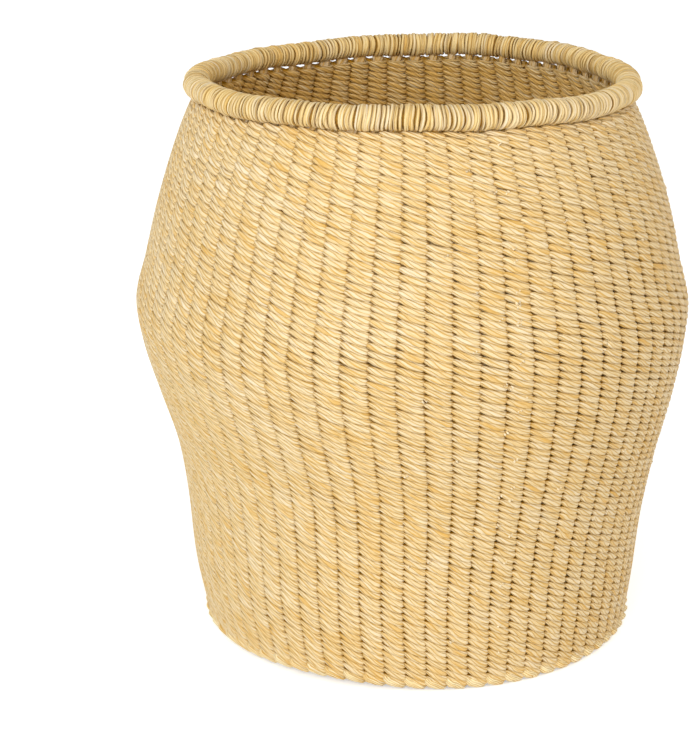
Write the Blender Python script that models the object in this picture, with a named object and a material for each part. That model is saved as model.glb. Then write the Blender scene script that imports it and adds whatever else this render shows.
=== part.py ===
"""A tall bolga basket of twined straw, open at the top, without a handle or lid.

Stakes are laid across each other under the base, fanned out, bent up at the foot and carried
round the belly into the rim. Straw is twined about them: its passes outside the stakes and its
passes inside them are the two faces of the wall. A heavy pair of strands is twined round the foot,
and the rim is a straw bundle bound with one long strip that dips between the stakes.

Lengths are in metres, +Z is up, and the origin is on the floor under the middle of the base.
"""

import math

import bmesh
import bpy
import numpy as np

# Whole basket, measured on the outer face of the wall
BASKET_HEIGHT = 0.450
FOOT_RADIUS = 0.1750
BELLY_RADIUS = 0.2213
BELLY_HEIGHT = 0.268
NECK_RADIUS = 0.1720

# Stakes
STAKE_WIDTH = 0.0044
STAKE_THICKNESS = 0.0036
BASE_SIDES = 4
STAKES_PER_SIDE = 17
ADDED_START_SHARE = 0.28

# Places of the added stakes, counted round one side of the base
ADDED_PLACES = (1, 4, 7, 9, 12, 15)

# Twined straw. The wall's outer face stands out over each stake and dips between the stakes
WEFT_THICKNESS = 0.0024
WEFT_DIP = 0.0020
FOOT_STRAND_RADIUS = 0.0028
FOOT_STRAND_LIFT = 0.0012

# Rim
RIM_WIDTH = 0.020
RIM_DEPTH = 0.018
RIM_OVERHANG = 0.0015
RIM_SLOT = 0.004
BINDING_THICKNESS = 0.0017
BINDING_MARGIN = 0.0003

# Share of a turn of the strip, from the rim's outer edge over its top, to the rim's underside
UNDER_RIM_SHARE = 0.75

# Room between pieces that lie against each other
CLEARANCE = 0.0003

# Height up the lower wall against swell from foot to belly, then height up the upper wall
# against narrowing from belly to neck
LOWER_WALL_SHARES = (
    (0.0, 0.0),
    (0.146, 0.132),
    (0.342, 0.246),
    (0.538, 0.428),
    (0.733, 0.724),
    (0.89, 0.929),
    (1.0, 1.0),
)
UPPER_WALL_SHARES = (
    (0.0, 0.0),
    (0.20, 0.148),
    (0.45, 0.335),
    (0.70, 0.584),
    (0.95, 0.903),
    (1.0, 1.0),
)

# Heights at which the wall is cut into faces, as shares of the lower and of the upper wall
LOWER_LEVEL_SHARES = (0.0, 0.50, 0.84, 1.0)
UPPER_LEVEL_SHARES = (0.0, 0.42, 0.82, 1.0)

# Stake section: across its width, then outwards through its thickness
STAKE_SECTION_SHARES = ((-1.0, 1.0), (0.0, -1.0), (1.0, 1.0))

# Faces: steps round the bend of a stake, and sides of a foot strand and of the rim
BEND_STEPS = 3
STRAND_SIDES = 4
RIM_SIDES = 6

# An edge sharper than this many degrees shows as a crease
SHELL_CREASE = 40
STRAND_CREASE = 80

STAKE_COUNT = BASE_SIDES * STAKES_PER_SIDE
STAKE_STEP = 2 * math.pi / STAKE_COUNT
CROSSING_PER_SIDE = STAKES_PER_SIDE - len(ADDED_PLACES)
MERGE_DISTANCE = CLEARANCE / 100

# Levels of the base, from the floor up
LOWER_STAKE_LEVEL = WEFT_THICKNESS + CLEARANCE + STAKE_THICKNESS / 2
UPPER_STAKE_LEVEL = LOWER_STAKE_LEVEL + STAKE_THICKNESS + CLEARANCE

# The middle of a stake lies this far in from the outer face of the wall
STAKE_DEPTH = WEFT_THICKNESS + CLEARANCE + STAKE_THICKNESS / 2
WALL_THICKNESS = 2 * WEFT_THICKNESS + 2 * CLEARANCE + STAKE_THICKNESS

# The dipping straw is thinner than the rest by what it falls from a stake's middle to its edge,
# measured at the neck, where the stakes stand closest
HALF_STEP_FALL = WEFT_DIP + NECK_RADIUS * (1 - math.cos(STAKE_STEP / 2))
EDGE_FALL = HALF_STEP_FALL * STAKE_WIDTH / (NECK_RADIUS * STAKE_STEP)
DIPPING_THICKNESS = WEFT_THICKNESS - EDGE_FALL

# The foot pair: how far a strand stands off the stakes, and off its partner where they cross
STRAND_OFFSET = STAKE_THICKNESS / 2 + CLEARANCE + FOOT_STRAND_RADIUS
STRAND_REACH = FOOT_STRAND_RADIUS + CLEARANCE
STRAND_RISE = STRAND_REACH * STRAND_OFFSET / math.sqrt(STRAND_OFFSET**2 - STRAND_REACH**2)
CORNER = math.pi / 4
FOOT_PAIR_HEIGHT = FOOT_STRAND_LIFT + FOOT_STRAND_RADIUS + STRAND_OFFSET * math.sin(CORNER)
BEND_CHORD_SHARE = math.cos(math.pi / (4 * BEND_STEPS))
BEND_RADIUS = (FOOT_PAIR_HEIGHT - LOWER_STAKE_LEVEL) / (1 - BEND_CHORD_SHARE * math.cos(CORNER))
WALL_START = FOOT_PAIR_HEIGHT + STRAND_OFFSET * math.sin(CORNER) + FOOT_STRAND_RADIUS + CLEARANCE
BEND_START_RADIUS = FOOT_RADIUS - STAKE_DEPTH - BEND_RADIUS
FOOT_PAIR_RADIUS = BEND_START_RADIUS + BEND_RADIUS * BEND_CHORD_SHARE * math.sin(CORNER)
BASE_EDGE_RADIUS = FOOT_PAIR_RADIUS - STRAND_OFFSET * math.cos(CORNER) - STRAND_REACH

# The crossing under the middle of the base
CROSSING_PITCH = STAKE_WIDTH + CLEARANCE
CROSSING_HALF_WIDTH = CROSSING_PITCH * CROSSING_PER_SIDE / 2
OUTERMOST_OFFSET = CROSSING_PITCH * (CROSSING_PER_SIDE - 1) / 2
FAN_RADIUS = math.hypot(CROSSING_HALF_WIDTH + CLEARANCE, OUTERMOST_OFFSET)

# An added stake starts this far out, a share of the way from the crossing to the base's edge
ADDED_START_RADIUS = FAN_RADIUS + ADDED_START_SHARE * (BASE_EDGE_RADIUS - FAN_RADIUS)

# Rim
RIM_HEIGHT = BASKET_HEIGHT - RIM_DEPTH / 2
RIM_RADIUS = NECK_RADIUS - STAKE_DEPTH + RIM_OVERHANG
WALL_TOP = BASKET_HEIGHT - RIM_DEPTH - RIM_SLOT
CORE_HALF_WIDTH = RIM_WIDTH / 2 - BINDING_THICKNESS - CLEARANCE
CORE_HALF_DEPTH = RIM_DEPTH / 2 - BINDING_THICKNESS - CLEARANCE
RIM_PITCH = RIM_RADIUS * STAKE_STEP
BINDING_DRIFT = RIM_PITCH / RIM_SIDES
BINDING_WIDTH = RIM_PITCH - STAKE_WIDTH - BINDING_DRIFT - 2 * BINDING_MARGIN

STRAW = (0.62, 0.42, 0.19)
STAKE_STRAW = (0.68, 0.50, 0.25)
INNER_STRAW = (0.50, 0.31, 0.12)
FOOT_STRAW = (0.60, 0.36, 0.13)
RIM_STRAW = (0.66, 0.47, 0.23)


def clear_scene():
    for obj in list(bpy.data.objects):
        bpy.data.objects.remove(obj, do_unlink=True)


def straw(name, colour, roughness):
    """A matt, unpolished plant fibre."""
    material = bpy.data.materials.new(name)
    material.use_nodes = True
    shader = material.node_tree.nodes["Principled BSDF"]
    shader.inputs["Base Color"].default_value = (*colour, 1.0)
    shader.inputs["Roughness"].default_value = roughness
    shader.inputs["Metallic"].default_value = 0.0
    material.diffuse_color = (*colour, 1.0)
    return material


def placed(name, bm, material, crease):
    """The mesh as an object in the scene, shaded smooth apart from its creases."""
    bmesh.ops.recalc_face_normals(bm, faces=bm.faces)
    mesh = bpy.data.meshes.new(name)
    bm.to_mesh(mesh)
    bm.free()
    mesh.shade_smooth()
    mesh.set_sharp_from_angle(angle=math.radians(crease))
    mesh.materials.append(material)
    obj = bpy.data.objects.new(name, mesh)
    bpy.context.scene.collection.objects.link(obj)
    return obj


def smooth_through(knots, values, at):
    """A curve through the points that never overshoots them: a cubic between each two knots,
    whose slope at a knot is the harmonic mean of the slopes on its two sides."""
    knots, values, at = (np.asarray(row, float) for row in (knots, values, at))
    run = np.diff(knots)
    rise = np.diff(values) / run
    slopes = np.concatenate((rise[:1], np.zeros(len(rise) - 1), rise[-1:]))
    for i in range(1, len(rise)):
        if rise[i - 1] * rise[i] > 0:
            slopes[i] = 2 * rise[i - 1] * rise[i] / (rise[i - 1] + rise[i])
    k = np.clip(np.searchsorted(knots, at, side="right") - 1, 0, len(run) - 1)
    t = (at - knots[k]) / run[k]
    return (
        values[k] * (1 + 2 * t) * (1 - t) ** 2
        + values[k + 1] * t**2 * (3 - 2 * t)
        + run[k] * slopes[k] * t * (1 - t) ** 2
        + run[k] * slopes[k + 1] * t**2 * (t - 1)
    )


def wall_radius(height):
    """Radius of the wall's outer face at a height, from the foot over the belly to the neck."""
    low = np.array(LOWER_WALL_SHARES)
    high = np.array(UPPER_WALL_SHARES)[1:]
    heights = np.concatenate((
        WALL_START + low[:, 0] * (BELLY_HEIGHT - WALL_START),
        BELLY_HEIGHT + high[:, 0] * (WALL_TOP - BELLY_HEIGHT),
    ))
    radii = np.concatenate((
        FOOT_RADIUS + low[:, 1] * (BELLY_RADIUS - FOOT_RADIUS),
        BELLY_RADIUS - high[:, 1] * (BELLY_RADIUS - NECK_RADIUS),
    ))
    return smooth_through(heights, radii, height)


def lower_levels():
    return WALL_START + np.array(LOWER_LEVEL_SHARES) * (BELLY_HEIGHT - WALL_START)


def upper_levels():
    return BELLY_HEIGHT + np.array(UPPER_LEVEL_SHARES) * (WALL_TOP - BELLY_HEIGHT)


def turned(name, outline, material):
    """A closed outline of (radius, height) points turned once round, with a face to each stake.
    Each face's middle, not its corner, lies at the outline's radius, flat against its stake."""
    bm = bmesh.new()
    to_corner = 1 / math.cos(STAKE_STEP / 2)
    start = place_azimuth(-0.5)
    corners = [
        bm.verts.new((
            radius * to_corner * math.cos(start),
            radius * to_corner * math.sin(start),
            height,
        ))
        for radius, height in outline
    ]
    edges = [bm.edges.new((a, b)) for a, b in zip(corners, corners[1:] + corners[:1])]
    bmesh.ops.spin(
        bm,
        geom=corners + edges,
        cent=(0.0, 0.0, 0.0),
        axis=(0.0, 0.0, 1.0),
        angle=2 * math.pi,
        steps=STAKE_COUNT,
        use_merge=True,
    )
    bmesh.ops.remove_doubles(bm, verts=bm.verts, dist=MERGE_DISTANCE)
    return placed(name, bm, material, SHELL_CREASE)


def bridged(name, rings, closed, material, crease):
    """A solid through rings of points that follow each other, capped at both ends, or joined
    from its last ring to its first if closed."""
    bm = bmesh.new()
    rows = [[bm.verts.new(point) for point in ring] for ring in rings]
    pairs = list(zip(rows, rows[1:]))
    if closed:
        pairs.append((rows[-1], rows[0]))
    else:
        bm.faces.new(rows[0])
        bm.faces.new(rows[-1][::-1])
    for first, second in pairs:
        sides = len(first)
        for i in range(sides):
            j = (i + 1) % sides
            bm.faces.new((first[i], first[j], second[j], second[i]))
    return placed(name, bm, material, crease)


def swept(name, centres, across, outward, section, closed, material):
    """A section carried along a path. Each point of the path has the section's two directions,
    and the section's points are lengths along them."""
    centres, across, outward = (np.asarray(row, float) for row in (centres, across, outward))
    rings = (
        centres[:, None, :]
        + np.array([a for a, _ in section])[None, :, None] * across[:, None, :]
        + np.array([o for _, o in section])[None, :, None] * outward[:, None, :]
    )
    return bridged(name, rings, closed, material, STRAND_CREASE)


def leg(azimuth, base_points):
    """A stake from its points in the base, given as (x, y, level), out to the foot, round the
    bend and up the wall to the rim core: its centres and the two directions of its section."""
    radial = np.array((math.cos(azimuth), math.sin(azimuth), 0.0))
    up = np.array((0.0, 0.0, 1.0))
    side = np.cross(up, radial)
    centres, across, outward = [], [], []

    def add(centre, sideways, out):
        centres.append(centre)
        across.append(sideways)
        outward.append(out)

    aim = BEND_START_RADIUS * radial + LOWER_STAKE_LEVEL * up
    for x, y, level in base_points:
        point = np.array((x, y, level))
        run = aim - point
        turn = math.atan2(run[1], run[0])
        add(point, np.array((-math.sin(turn), math.cos(turn), 0.0)), -up)
    for step in range(BEND_STEPS):
        angle = step * math.pi / 2 / BEND_STEPS
        out = math.sin(angle) * radial - math.cos(angle) * up
        middle = BEND_START_RADIUS * radial + (LOWER_STAKE_LEVEL + BEND_RADIUS) * up
        add(middle + BEND_RADIUS * out, side, out)
    levels = np.concatenate((lower_levels(), upper_levels()[1:]))
    for radius, level in zip(wall_radius(levels), levels):
        add((radius - STAKE_DEPTH) * radial + level * up, side, radial)
    tip_level = RIM_HEIGHT - CORE_HALF_DEPTH - CLEARANCE
    add((NECK_RADIUS - STAKE_DEPTH) * radial + tip_level * up, side, radial)
    return centres, across, outward


def stake_section():
    return [
        (across * STAKE_WIDTH / 2, outward * STAKE_THICKNESS / 2)
        for across, outward in STAKE_SECTION_SHARES
    ]


def place_azimuth(place):
    """Angle of a stake from the middle of its side of the base. Half places lie between stakes."""
    return (place - (STAKES_PER_SIDE - 1) / 2) * STAKE_STEP


def make_crossing_stakes(material):
    """Stakes that run up one side, across the base and up the other. The first set lies along X
    under the second, which lies along Y. Both fan out evenly from the crossing."""
    places = [place for place in range(STAKES_PER_SIDE) if place not in ADDED_PLACES]
    for set_number, level in enumerate((LOWER_STAKE_LEVEL, UPPER_STAKE_LEVEL)):
        for index, place in enumerate(places):
            offset = (index - (len(places) - 1) / 2) * CROSSING_PITCH
            fan_start = math.sqrt(FAN_RADIUS**2 - offset**2)
            azimuth = place_azimuth(place)
            near = leg(azimuth, [(fan_start, offset, level)])
            far = leg(math.pi - azimuth, [(-fan_start, offset, level)])
            centres = np.array(far[0][::-1] + near[0])
            across = np.array([-a for a in far[1][::-1]] + near[1])
            outward = np.array(far[2][::-1] + near[2])
            if set_number:
                centres, across, outward = (
                    np.stack((-row[:, 1], row[:, 0], row[:, 2]), axis=1)
                    for row in (centres, across, outward)
                )
            name = f"crossing_stake_{set_number * len(places) + index + 1:02d}"
            swept(name, centres, across, outward, stake_section(), False, material)


def make_added_stakes(material):
    """Stakes pushed in between the crossing ones once the fan has room for them."""
    count = 0
    for side in range(BASE_SIDES):
        for place in ADDED_PLACES:
            azimuth = place_azimuth(place) + side * 2 * math.pi / BASE_SIDES
            start = (
                ADDED_START_RADIUS * math.cos(azimuth),
                ADDED_START_RADIUS * math.sin(azimuth),
                LOWER_STAKE_LEVEL,
            )
            count += 1
            rows = leg(azimuth, [start])
            swept(f"added_stake_{count:02d}", *rows, stake_section(), False, material)


def make_base(outer_material, inner_material):
    """The base straw under the stakes, flat on the floor, and the base straw over them, which
    rises at the middle over the second layer of the crossing."""
    under = [
        (0.0, 0.0),
        (BASE_EDGE_RADIUS, 0.0),
        (BASE_EDGE_RADIUS, WEFT_THICKNESS),
        (0.0, WEFT_THICKNESS),
    ]
    edge_level = LOWER_STAKE_LEVEL + STAKE_THICKNESS / 2 + CLEARANCE
    middle_level = UPPER_STAKE_LEVEL + STAKE_THICKNESS / 2 + CLEARANCE
    middle_radius = FAN_RADIUS + STAKE_WIDTH
    over = [
        (0.0, middle_level),
        (middle_radius, middle_level),
        (BASE_EDGE_RADIUS, edge_level),
        (BASE_EDGE_RADIUS, edge_level + WEFT_THICKNESS),
        (middle_radius, middle_level + WEFT_THICKNESS),
        (0.0, middle_level + WEFT_THICKNESS),
    ]
    turned("base_weft_outside", under, outer_material)
    turned("base_weft_inside", over, inner_material)


def make_foot_pair(material):
    """Two heavy strands twined round the foot. Each passes outside one stake and inside the next,
    half a turn apart from the other, and they change places between the stakes, the outer one
    running down to the right as seen from outside."""
    over_stake_share = (STAKE_WIDTH / 2 + CLEARANCE) / (FOOT_PAIR_RADIUS * STAKE_STEP)
    steps = (-over_stake_share, over_stake_share, 0.5)
    section = [
        (FOOT_STRAND_RADIUS * math.cos(turn), FOOT_STRAND_RADIUS * math.sin(turn))
        for turn in (2 * math.pi * side / STRAND_SIDES for side in range(STRAND_SIDES))
    ]
    for strand in range(2):
        centres, across, outward = [], [], []
        for stake in range(STAKE_COUNT):
            outside = 1 if (stake + strand) % 2 == 0 else -1
            for step in steps:
                azimuth = place_azimuth(stake + step)
                radial = np.array((math.cos(azimuth), math.sin(azimuth), 0.0))
                up = np.array((0.0, 0.0, 1.0))
                out = math.cos(CORNER) * radial - math.sin(CORNER) * up
                rise = math.sin(CORNER) * radial + math.cos(CORNER) * up
                ring = FOOT_PAIR_RADIUS * radial + FOOT_PAIR_HEIGHT * up
                if step == steps[-1]:
                    centres.append(ring - outside * STRAND_RISE * rise)
                else:
                    centres.append(ring + outside * STRAND_OFFSET * out)
                across.append(rise)
                outward.append(out)
        name = f"foot_strand_{strand + 1}"
        swept(name, centres, across, outward, section, True, material)


def rim_outline(half_width, half_depth):
    """A six-sided rim section, flat above and below: each corner as (radius, height)."""
    step = 2 * math.pi / RIM_SIDES
    return [
        (
            RIM_RADIUS + half_width * math.cos(side * step),
            RIM_HEIGHT + half_depth * math.sin(side * step) / math.sin(step),
        )
        for side in range(RIM_SIDES)
    ]


def least_gap(edges, turn_points):
    """Least distance between the strip's two edges one turn apart, measured on its corners."""
    first, second = edges
    ahead = first[turn_points:]
    behind = second[:-turn_points]
    return float(np.linalg.norm(ahead - behind, axis=1).min())


def make_rim(core_material, binding_material):
    """The straw bundle on top of the stakes, and the strip wound round it, which passes under
    it midway between each two stakes. The strip's ends are tucked under the rim."""
    turned("rim_core", rim_outline(CORE_HALF_WIDTH, CORE_HALF_DEPTH), core_material)
    inner = rim_outline(CORE_HALF_WIDTH + CLEARANCE, CORE_HALF_DEPTH + CLEARANCE)
    outer = rim_outline(RIM_WIDTH / 2, RIM_DEPTH / 2)
    half_strip = BINDING_WIDTH / 2 / RIM_RADIUS
    first_corner = RIM_SIDES - 1
    rings = []
    for point in range(first_corner, first_corner + STAKE_COUNT * RIM_SIDES - 2):
        middle = place_azimuth(point / RIM_SIDES - UNDER_RIM_SHARE + 0.5)
        ring = []
        for outline, edge in ((inner, -1), (inner, 1), (outer, 1), (outer, -1)):
            radius, height = outline[point % RIM_SIDES]
            turn = middle + edge * half_strip
            ring.append((radius * math.cos(turn), radius * math.sin(turn), height))
        rings.append(ring)
    rings = np.array(rings)
    gap = least_gap((rings[:, 0], rings[:, 1]), RIM_SIDES)
    print(f"rim_binding: {len(rings) / RIM_SIDES:.1f} turns, least gap {gap * 1000:.2f} mm")
    bridged("rim_binding", rings, False, binding_material, SHELL_CREASE)


def outer_face(name, levels, material):
    """A part of the wall's outer face: a thin shell with a ridge over each stake."""
    rings = []
    for half_steps in range(2 * STAKE_COUNT):
        azimuth = place_azimuth(half_steps / 2)
        outside = wall_radius(levels) - half_steps % 2 * WEFT_DIP
        radii = np.concatenate((outside, outside[::-1] - DIPPING_THICKNESS))
        heights = np.concatenate((levels, levels[::-1]))
        rings.append(
            np.stack((radii * math.cos(azimuth), radii * math.sin(azimuth), heights), axis=1)
        )
    bridged(name, rings, True, material, SHELL_CREASE)


def make_wall(outer_material, inner_material):
    """The wall's outer face in two pieces, which meet at the belly, and its inner face."""
    low, high = lower_levels(), upper_levels()
    outer_face("wall_weft_lower_outside", low, outer_material)
    high_from_seam = np.concatenate(([BELLY_HEIGHT + CLEARANCE], high[1:]))
    outer_face("wall_weft_upper_outside", high_from_seam, outer_material)
    levels = np.concatenate((low, high[1:]))
    radii = wall_radius(levels) - WALL_THICKNESS
    outline = list(zip(radii, levels)) + list(zip(radii + WEFT_THICKNESS, levels))[::-1]
    turned("wall_weft_inside", outline, inner_material)


def main():
    clear_scene()
    wall_straw = straw("wall_straw", STRAW, 0.7)
    inner_straw = straw("inner_straw", INNER_STRAW, 0.75)
    stake_straw = straw("stake_straw", STAKE_STRAW, 0.65)
    foot_straw = straw("foot_straw", FOOT_STRAW, 0.7)
    rim_straw = straw("rim_straw", RIM_STRAW, 0.65)
    make_crossing_stakes(stake_straw)
    make_added_stakes(stake_straw)
    make_base(wall_straw, inner_straw)
    make_foot_pair(foot_straw)
    make_wall(wall_straw, inner_straw)
    make_rim(stake_straw, rim_straw)


main()
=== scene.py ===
"""Dresses the bolga basket's frame with its straw: the twined wall and base, the stakes, the heavy
pair round the foot, the bound rim and the cut ends of the spliced straws, on a white stage.

Lengths are in metres, +Z is up, and the origin is on the floor under the middle of the base. A
place on the basket is counted in stakes round it, to the right as seen from outside.
"""

import bpy
import numpy as np
from bpy.props import FloatProperty, FloatVectorProperty, IntProperty, PointerProperty
from mathutils import Euler, Matrix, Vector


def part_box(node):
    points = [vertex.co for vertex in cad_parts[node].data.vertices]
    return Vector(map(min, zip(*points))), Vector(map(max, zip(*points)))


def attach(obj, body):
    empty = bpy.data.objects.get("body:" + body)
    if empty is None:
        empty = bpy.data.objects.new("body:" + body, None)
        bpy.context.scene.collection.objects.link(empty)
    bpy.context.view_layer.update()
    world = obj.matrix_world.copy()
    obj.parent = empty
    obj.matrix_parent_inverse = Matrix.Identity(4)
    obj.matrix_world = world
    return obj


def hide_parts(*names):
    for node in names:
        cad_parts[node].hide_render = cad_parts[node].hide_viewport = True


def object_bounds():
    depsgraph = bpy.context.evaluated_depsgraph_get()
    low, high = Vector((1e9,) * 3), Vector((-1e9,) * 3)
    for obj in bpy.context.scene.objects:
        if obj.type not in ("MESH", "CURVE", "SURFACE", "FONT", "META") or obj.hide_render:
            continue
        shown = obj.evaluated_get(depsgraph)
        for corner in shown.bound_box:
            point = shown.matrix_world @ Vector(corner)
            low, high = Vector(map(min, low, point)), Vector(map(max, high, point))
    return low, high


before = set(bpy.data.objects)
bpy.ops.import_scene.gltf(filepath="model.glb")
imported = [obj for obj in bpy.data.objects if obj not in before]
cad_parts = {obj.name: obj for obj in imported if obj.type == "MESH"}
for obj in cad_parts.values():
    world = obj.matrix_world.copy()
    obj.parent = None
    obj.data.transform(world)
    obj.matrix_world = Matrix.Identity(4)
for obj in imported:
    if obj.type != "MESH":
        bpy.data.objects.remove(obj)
CAD_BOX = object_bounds()
LOWER_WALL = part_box("wall_weft_lower_outside")
UPPER_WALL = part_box("wall_weft_upper_outside")
RIM_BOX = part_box("rim_binding")

bl_info = {
    "name": "Bolga basket",
    "version": (1, 0, 0),
    "blender": (4, 5, 0),
    "location": "3D View > Sidebar > Basket",
    "description": "Weaves a tall straw basket on its stakes and sets it on a white stage",
    "category": "Object",
}

# Stakes all round and on each of the four sides, some of them pushed in between the crossing ones
STAKES = 68
SIDE_STAKES = 17
SIDE_MIDDLE = 8
ADDED_PLACES = (1, 4, 7, 9, 12, 15)
CROSSING_PLACES = tuple(place for place in range(SIDE_STAKES) if place not in ADDED_PLACES)
STEP = 2 * np.pi / STAKES

# Under the base the stakes cross side by side in two levels, fan out from a circle and bend up
CROSSING_PITCH = 0.0047
FAN_RADIUS = 0.0352
ADDED_RADIUS = 0.0704
LEVELS = (0.0045, 0.0084)
BEND_START = 0.1612
BEND_RADIUS = 0.00935
# How far above the wall a stake's last points lie, inside the rim, from where to where it
# spreads there, and how far apart along it its width and its tone change
STAKE_ENDS = (0.0025, 0.005, 0.0085)
SPREAD_FROM, SPREAD_TO = -0.004, 0.001
WIDTH_CHANGES, TONE_CHANGES = 0.03, 0.05

# Height up the lower wall against swell from foot to belly, then height up the upper wall
# against narrowing from belly to neck
LOWER_SHARES = (
    (0.0, 0.0),
    (0.146, 0.132),
    (0.342, 0.246),
    (0.538, 0.428),
    (0.733, 0.724),
    (0.89, 0.929),
    (1.0, 1.0),
)
UPPER_SHARES = ((0.20, 0.148), (0.45, 0.335), (0.70, 0.584), (0.95, 0.903), (1.0, 1.0))

# The rim's rise and fall: waves round it, and the height of each towards the right and the back
RIM_WAVES = ((1, 0.0014, -0.0025), (2, -0.0015, 0.0011), (3, -0.0008, -0.0001), (11, 0.0, 0.0005))
# Sideways bend of the basket's axis against the share of its height, and where its foot lifts
AXIS_BEND = (
    (0.0, 0.001), (0.14, -0.0005), (0.37, 0.0022), (0.62, -0.0016), (0.85, 0.0), (1.07, 0.0),
)  # fmt: skip
RIM_TOP_SHARE = 1.06
LIFTED_AT = np.radians(246)
# How far the wall is out of round, in two waves and in five, and how far the stakes sway, in turn
OVAL = 0.0009
FIVE_SIDES = 0.0005
SWAY = 0.010

# How far to each side of a stake a strand stays outside, in stakes. Against how far past the
# stake it is, its fall from 1 below to 1 above, and its half height as a share of the crown: it
# falls fast where it comes out and runs nearer level over the stake, and comes out narrower
OUTSIDE = 0.54
FALL = (
    (OUTSIDE - 2, -OUTSIDE, -0.40, -0.30, -0.18, 0.0, OUTSIDE, 2 - OUTSIDE),
    (1, -1, -0.66, -0.40, -0.12, 0.20, 1, -1),
)
SPINDLE = (
    (-0.66, -0.58, -0.50, -0.42, -0.30, -0.12, 0.30, 0.42, 0.50, 0.58, 0.66, 0.80, 1.0, 1.20, 1.34),
    (0.78, 0.66, 0.58, 0.72, 0.90, 1.0, 1.02, 0.98, 0.90, 0.78, 0.72, 0.92, 1.14, 1.0, 0.78),
)
FINE_PHASES = np.array((
    -0.66, -0.58, -0.50, -0.42, -0.30, -0.12, 0.12, 0.30, 0.42, 0.50, 0.58, 0.66, 0.80, 1.0, 1.20,
))
COARSE_PHASES = np.array((-0.58, -0.48, -0.3, 0.0, 0.3, 0.48, 0.58, 0.8, 1.0, 1.2))

# Where a strand lies deepest between two others, past the stake, and where it comes out, both
# painted dark as shade, how dark its two edges are painted as shade, and how much of this painted
# shade is kept where the strand runs inside
DIVES_AT = OUTSIDE + 0.05
COMES_OUT_AT = -OUTSIDE - 0.03
EDGE_SHADE = ((-1.0, -OUTSIDE, 0.1, OUTSIDE, 1.0), (0.45, 1.0, 0.8, 0.3, 0.45))
INNER_SHADE = 0.2

# Against the share of the wall's height, how steeply the strands fall
SLANT_BY_LEVEL = ((0, 0.5, 1), (1.9, 1.45, 1.0))
# How sharply a strand turns in and out, and how evenly it falls
CLING = 1.7
EASE = 1.3
# Hand-made unevenness of a strand: its height, its width and its place, and a straw's length,
# counted in stakes, before the next one is laid in
UNEVEN_HEIGHT = 0.00022
UNEVEN_WIDTH = 0.06
UNEVEN_PLACE = 0.022
STRAW_RUN = 26
# Share of a round that the twining's first and last turn leave out, and a shift of the pattern
# along a straw that keeps two straws from looking alike
TRIMMED = 0.2
PATTERN_SHIFT = 7
# A short step outwards, to find which way is out
NUDGE = 0.001
# Depth of the grooves between a straw's stems
GROOVE = 0.0006

# The base's rounds: inner and outer radius and the stakes passed. Between the crossing and the
# fan the straw's middle comes down and it no longer reaches over two levels of stakes
BASE_ZONES = (
    ("middle", 0.006, 0.036, 24),
    ("inner_rounds", 0.036, 0.0715, 4 * len(CROSSING_PLACES)),
    ("outer_rounds", 0.0715, 0.164, STAKES),
)
BASE_RADII = np.linspace(0.03, 0.165, 120)
FAN_STARTS = (0.030, 0.062)
BASE_MIDDLE = (0.00645, 0.0045)
BASE_REACH = (1.65, 1.0)

# How far the wall's straw starts below the wall, round the stakes' bend, and reaches up into the
# rim, and the bands that it is cut into
WALL_TUCK = 0.0075
WALL_INTO_RIM = 0.0012
WALL_BANDS = 8

# The heavy pair round the foot: its middle, and how far a strand swings in and out and up and down
FOOT_PAIR_RADIUS = 0.1675
FOOT_PAIR_HEIGHT = 0.00747
STRAND_OFFSET = 0.0049
STRAND_RISE = 0.0034
FOOT_CLING = 1.5

# How far the rim's bundle lies inside the binding, and how far the binding straw bites into it
BUNDLE_INSET = 0.0019
BITE = 0.0004
BUNDLE_BROWN = (0.38, 0.26, 0.1)

# A pair of cut ends: half their thickness, how far apart they are up the wall and round it, how
# far they run down and round it, how far out they start and reach, and their length
END_SIZES = (0.0006, 0.0009)
ENDS_APART = (0.0011, 0.11)
END_RUN = (0.0010, 0.07)
END_OUT = (0.0028, 0.0017)
END_OUT_MORE = 0.0007
END_LENGTH = 0.004
# More splices from right of the front's middle round the back to the left side: how many, how
# near to the wall's edges and between which places
MORE_SPLICES = 70
SPLICE_MARGIN = 0.02
MORE_PLACES = (-6, 40)

# The photograph's size, and where cut straw ends show in it, in its pixels
PHOTO_SIZE = (700, 734)
SPLICES_SEEN = (
    (534, 137), (467, 170), (494, 192), (519, 190), (469, 200), (606, 238), (623, 251),
    (445, 255), (592, 287), (474, 293), (645, 295), (547, 301), (572, 304), (523, 305),
    (633, 315), (500, 319), (553, 322), (639, 346), (474, 351), (532, 361), (504, 385),
    (423, 401), (598, 415), (505, 433), (455, 462), (605, 468), (619, 468), (405, 476),
    (568, 494), (582, 509), (497, 526), (428, 561), (409, 566), (475, 590), (571, 590),
    (514, 606), (565, 628), (451, 641), (544, 655),
)  # fmt: skip
# Where the wall is searched for them, from the left side to just right of the front's middle:
# what lies further to the right comes to stand in the last of these places
SEARCHED_PLACES = np.arange(-28, -5, 0.05) + STAKES

# The stage
SENSOR = 36.0
FLOOR_SIZE = 40
FLOOR_WHITE = (0.93, 0.93, 0.93, 1)
FLOOR_GLOW = 0.45
WHITE = (1, 1, 1, 1)
# The lamps: name, place, width and tint, and the point that all of them face
LAMPS = (
    ("key", (-2.8, -3.4, 1.7), 2.0, (0.87, 0.94, 1.0)),
    ("fill", (3.3, -2.2, 2.0), 1.8, (1.0, 0.94, 0.84)),
    ("top", (-0.2, -3.6, 2.25), 1.8, (1.0, 0.95, 0.86)),
)
LAMPS_AIM = (0.0, 0.0, 0.22)


def length(name, description, default):
    return FloatProperty(name=name, description=description, default=default, unit="LENGTH")


def angle(name, description, degrees):
    return FloatProperty(
        name=name, description=description, default=np.radians(degrees), subtype="ANGLE"
    )


def colour(name, description, default):
    return FloatVectorProperty(
        name=name, description=description, default=default, subtype="COLOR", min=0, max=1
    )


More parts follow.
